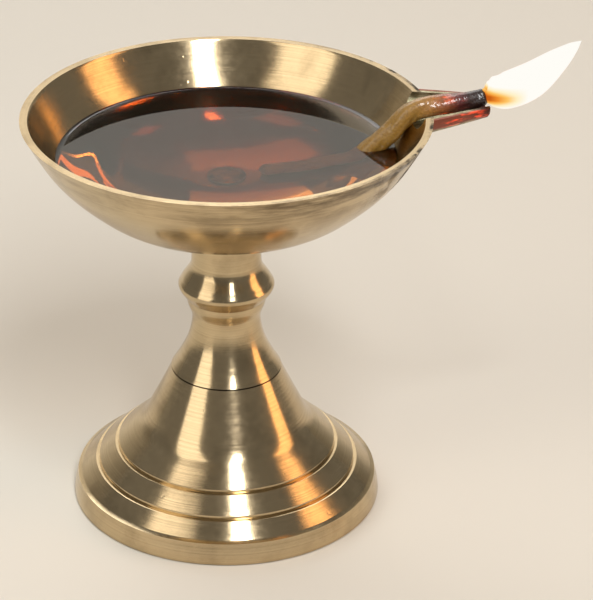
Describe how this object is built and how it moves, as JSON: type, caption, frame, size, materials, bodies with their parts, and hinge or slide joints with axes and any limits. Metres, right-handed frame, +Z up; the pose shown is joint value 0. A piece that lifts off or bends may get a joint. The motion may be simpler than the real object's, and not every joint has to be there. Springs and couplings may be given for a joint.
{
  "type": "pedestal oil lamp",
  "caption": "Turned brass pedestal oil lamp: spouted bowl with oil, cotton wick and flame, on a baluster stem and a hollow bell foot.",
  "frame": {"origin": "bottom centre of the whole lamp's box, on the surface it stands on, 15 mm along the spout from the turning axis", "axes": "+Z up along the turning axis, +X along the spout"},
  "size_m": [0.111, 0.081, 0.0958],
  "materials": {
    "turned_brass": "lathe turned and polished",
    "stud_brass": "turned, dulled by oil",
    "plated_steel": "zinc plated",
    "lamp_oil": "clear dark liquid",
    "cotton": "rolled cotton soaked in oil, charred at its tip",
    "flame_gas": "glowing gas"
  },
  "bodies": {
    "lamp": {"foot": "turned_brass", "stem": "turned_brass", "bowl": "turned_brass", "tie_stud": "stud_brass", "foot_washer": "plated_steel", "foot_nut": "plated_steel", "oil": "lamp_oil"},
    "wick": {"wick": "cotton", "flame": "flame_gas"}
  },
  "joints": [
    {"name": "wick_lift", "type": "slide", "parent": "lamp", "child": "wick", "axis": [0, 0, 1], "range_m": [0, 0.012]}
  ]
}
